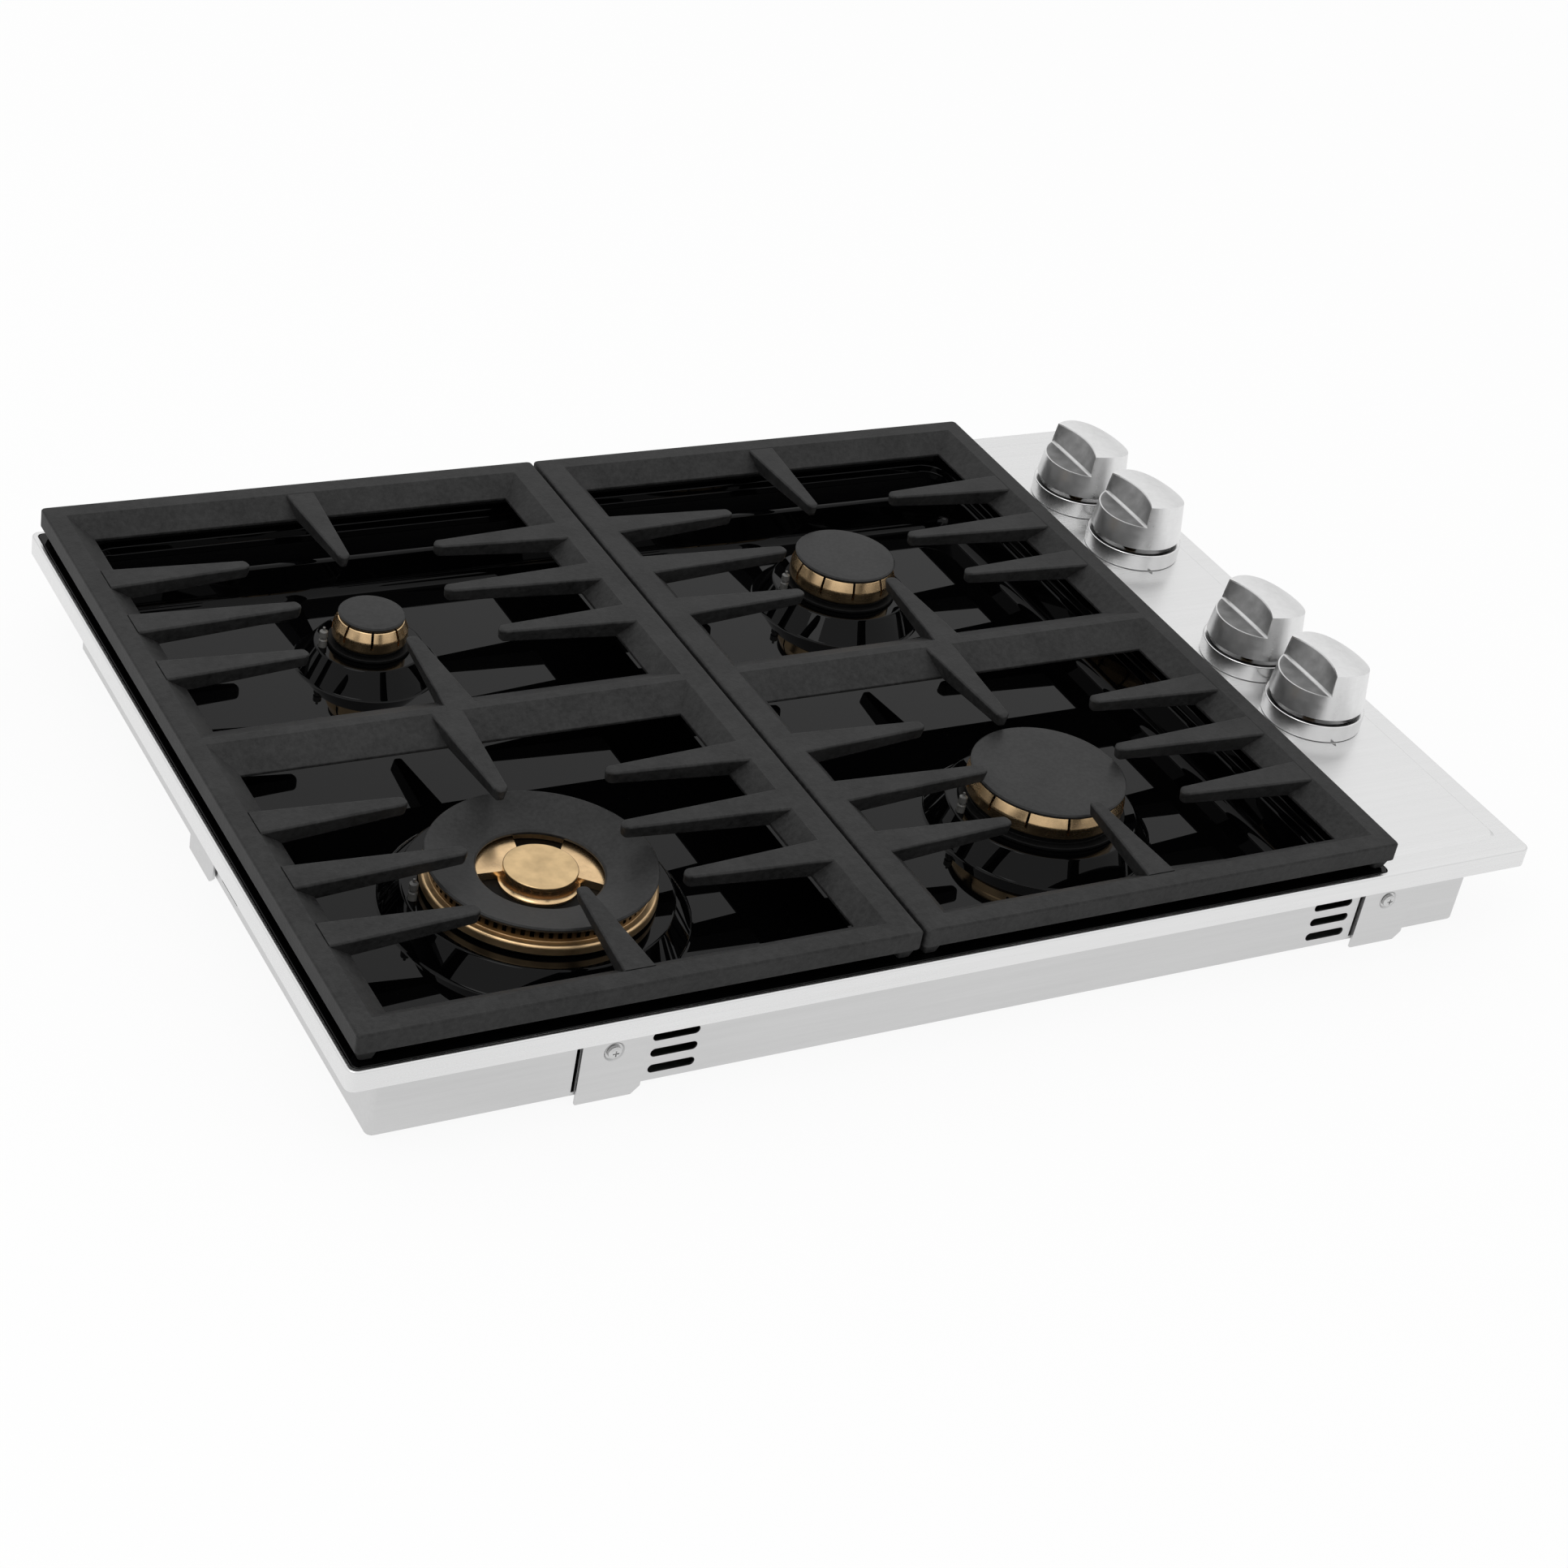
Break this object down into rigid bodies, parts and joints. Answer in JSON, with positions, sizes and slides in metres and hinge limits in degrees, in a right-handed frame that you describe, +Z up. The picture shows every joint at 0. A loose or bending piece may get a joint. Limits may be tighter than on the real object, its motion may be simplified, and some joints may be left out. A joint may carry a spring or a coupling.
{
  "type": "gas cooktop",
  "caption": "Built-in gas cooktop with cast iron grates, brass burners, a black spill pan and a steel control strip at the right, with knobs that push and turn.",
  "frame": {"origin": "middle of the overall box, at the level of the feet of the hold-down brackets", "axes": "+X to the control strip at the right, +Y to the back, +Z up"},
  "size_m": [0.762, 0.5334, 0.11],
  "materials": {
    "brushed_steel": "brushed",
    "knob_metal": "satin, spun",
    "box_steel": "satin",
    "porcelain": "gloss enamel",
    "cast_iron": "matte enamel",
    "cap_enamel": "matte enamel",
    "brass": "satin",
    "burner_casting": "as cast, dark",
    "ceramic": "glazed",
    "aluminium": "satin",
    "black_plastic": "matte",
    "seal_foam": "matte"
  },
  "bodies": {
    "cooktop": {"top_frame": "brushed_steel", "bezel_1": "brushed_steel", "bezel_2": "brushed_steel", "bezel_3": "brushed_steel", "bezel_4": "brushed_steel", "burner_box": "box_steel", "front_left_hold_down": "box_steel", "front_right_hold_down": "box_steel", "back_right_hold_down": "box_steel", "back_left_hold_down": "box_steel", "left_hold_down": "box_steel", "right_hold_down": "box_steel", "spill_pan": "porcelain", "gas_inlet_union": "brass", "rear_left_burner_base": "burner_casting", "rear_right_burner_base": "burner_casting", "front_right_burner_base": "burner_casting", "front_left_burner_base": "burner_casting", "rear_left_igniter": "ceramic", "rear_right_igniter": "ceramic", "front_right_igniter": "ceramic", "front_left_igniter": "ceramic", "gas_valve_1": "aluminium", "gas_valve_2": "aluminium", "gas_valve_3": "aluminium", "gas_valve_4": "aluminium", "gas_manifold": "aluminium", "rear_left_gas_tube": "aluminium", "rear_right_gas_tube": "aluminium", "front_right_gas_tube": "aluminium", "front_left_ring_gas_tube": "aluminium", "front_left_inner_gas_tube": "aluminium", "spark_module": "black_plastic", "counter_seal": "seal_foam"},
    "push_1": {"push_plate_1": "box_steel"},
    "control_1": {"knob_1": "knob_metal", "valve_stem_1": "brass"},
    "push_2": {"push_plate_2": "box_steel"},
    "control_2": {"knob_2": "knob_metal", "valve_stem_2": "brass"},
    "push_3": {"push_plate_3": "box_steel"},
    "control_3": {"knob_3": "knob_metal", "valve_stem_3": "brass"},
    "push_4": {"push_plate_4": "box_steel"},
    "control_4": {"knob_4": "knob_metal", "valve_stem_4": "brass"},
    "left_grate": {"left_grate": "cast_iron"},
    "right_grate": {"right_grate": "cast_iron"},
    "rear_left_cap": {"rear_left_burner_cap": "cap_enamel"},
    "rear_left_head": {"rear_left_burner_head": "brass"},
    "rear_right_cap": {"rear_right_burner_cap": "cap_enamel"},
    "rear_right_head": {"rear_right_burner_head": "brass"},
    "front_right_cap": {"front_right_burner_cap": "cap_enamel"},
    "front_right_head": {"front_right_burner_head": "brass"},
    "front_left_ring_cap": {"front_left_ring_cap": "cap_enamel"},
    "front_left_ring_head": {"front_left_ring_head": "brass"},
    "front_left_inner_cap": {"front_left_inner_cap": "brass"},
    "front_left_inner_head": {"front_left_inner_head": "brass"}
  },
  "joints": [
    {"name": "knob_1_push", "type": "slide", "parent": "cooktop", "child": "push_1", "axis": [0, 0, -1], "range_m": [0, 0.003], "stiffness_N_per_m": 1000, "springref_m": -0.006},
    {"name": "knob_1_turn", "type": "hinge", "parent": "push_1", "child": "control_1", "pos_m": [0.3278, 0.1738, 0.079], "axis": [0, 0, 1], "range_deg": [0, 270]},
    {"name": "knob_2_push", "type": "slide", "parent": "cooktop", "child": "push_2", "axis": [0, 0, -1], "range_m": [0, 0.003], "stiffness_N_per_m": 1000, "springref_m": -0.006},
    {"name": "knob_2_turn", "type": "hinge", "parent": "push_2", "child": "control_2", "pos_m": [0.3278, 0.1038, 0.079], "axis": [0, 0, 1], "range_deg": [0, 270]},
    {"name": "knob_3_push", "type": "slide", "parent": "cooktop", "child": "push_3", "axis": [0, 0, -1], "range_m": [0, 0.003], "stiffness_N_per_m": 1000, "springref_m": -0.006},
    {"name": "knob_3_turn", "type": "hinge", "parent": "push_3", "child": "control_3", "pos_m": [0.3278, -0.0372, 0.079], "axis": [0, 0, 1], "range_deg": [0, 270]},
    {"name": "knob_4_push", "type": "slide", "parent": "cooktop", "child": "push_4", "axis": [0, 0, -1], "range_m": [0, 0.003], "stiffness_N_per_m": 1000, "springref_m": -0.006},
    {"name": "knob_4_turn", "type": "hinge", "parent": "push_4", "child": "control_4", "pos_m": [0.3278, -0.1072, 0.079], "axis": [0, 0, 1], "range_deg": [0, 270]},
    {"name": "left_grate_lift", "type": "slide", "parent": "cooktop", "child": "left_grate", "axis": [0, 0, 1], "range_m": [0, 0.12]},
    {"name": "right_grate_lift", "type": "slide", "parent": "cooktop", "child": "right_grate", "axis": [0, 0, 1], "range_m": [0, 0.12]},
    {"name": "rear_left_cap_lift", "type": "slide", "parent": "cooktop", "child": "rear_left_cap", "axis": [0, 0, 1], "range_m": [0, 0.06]},
    {"name": "rear_left_head_lift", "type": "slide", "parent": "cooktop", "child": "rear_left_head", "axis": [0, 0, 1], "range_m": [0, 0.03]},
    {"name": "rear_right_cap_lift", "type": "slide", "parent": "cooktop", "child": "rear_right_cap", "axis": [0, 0, 1], "range_m": [0, 0.06]},
    {"name": "rear_right_head_lift", "type": "slide", "parent": "cooktop", "child": "rear_right_head", "axis": [0, 0, 1], "range_m": [0, 0.03]},
    {"name": "front_right_cap_lift", "type": "slide", "parent": "cooktop", "child": "front_right_cap", "axis": [0, 0, 1], "range_m": [0, 0.06]},
    {"name": "front_right_head_lift", "type": "slide", "parent": "cooktop", "child": "front_right_head", "axis": [0, 0, 1], "range_m": [0, 0.03]},
    {"name": "front_left_ring_cap_lift", "type": "slide", "parent": "cooktop", "child": "front_left_ring_cap", "axis": [0, 0, 1], "range_m": [0, 0.06]},
    {"name": "front_left_ring_head_lift", "type": "slide", "parent": "cooktop", "child": "front_left_ring_head", "axis": [0, 0, 1], "range_m": [0, 0.03]},
    {"name": "front_left_inner_cap_lift", "type": "slide", "parent": "cooktop", "child": "front_left_inner_cap", "axis": [0, 0, 1], "range_m": [0, 0.06]},
    {"name": "front_left_inner_head_lift", "type": "slide", "parent": "cooktop", "child": "front_left_inner_head", "axis": [0, 0, 1], "range_m": [0, 0.03]}
  ],
  "couplings": [
    {"joint": "rear_left_cap_lift", "follows": "left_grate_lift", "ratio": 0.5},
    {"joint": "rear_left_head_lift", "follows": "left_grate_lift", "ratio": 0.25},
    {"joint": "rear_right_cap_lift", "follows": "right_grate_lift", "ratio": 0.5},
    {"joint": "rear_right_head_lift", "follows": "right_grate_lift", "ratio": 0.25},
    {"joint": "front_right_cap_lift", "follows": "right_grate_lift", "ratio": 0.5},
    {"joint": "front_right_head_lift", "follows": "right_grate_lift", "ratio": 0.25},
    {"joint": "front_left_ring_cap_lift", "follows": "left_grate_lift", "ratio": 0.5},
    {"joint": "front_left_ring_head_lift", "follows": "left_grate_lift", "ratio": 0.25},
    {"joint": "front_left_inner_cap_lift", "follows": "left_grate_lift", "ratio": 0.5},
    {"joint": "front_left_inner_head_lift", "follows": "left_grate_lift", "ratio": 0.25}
  ]
}
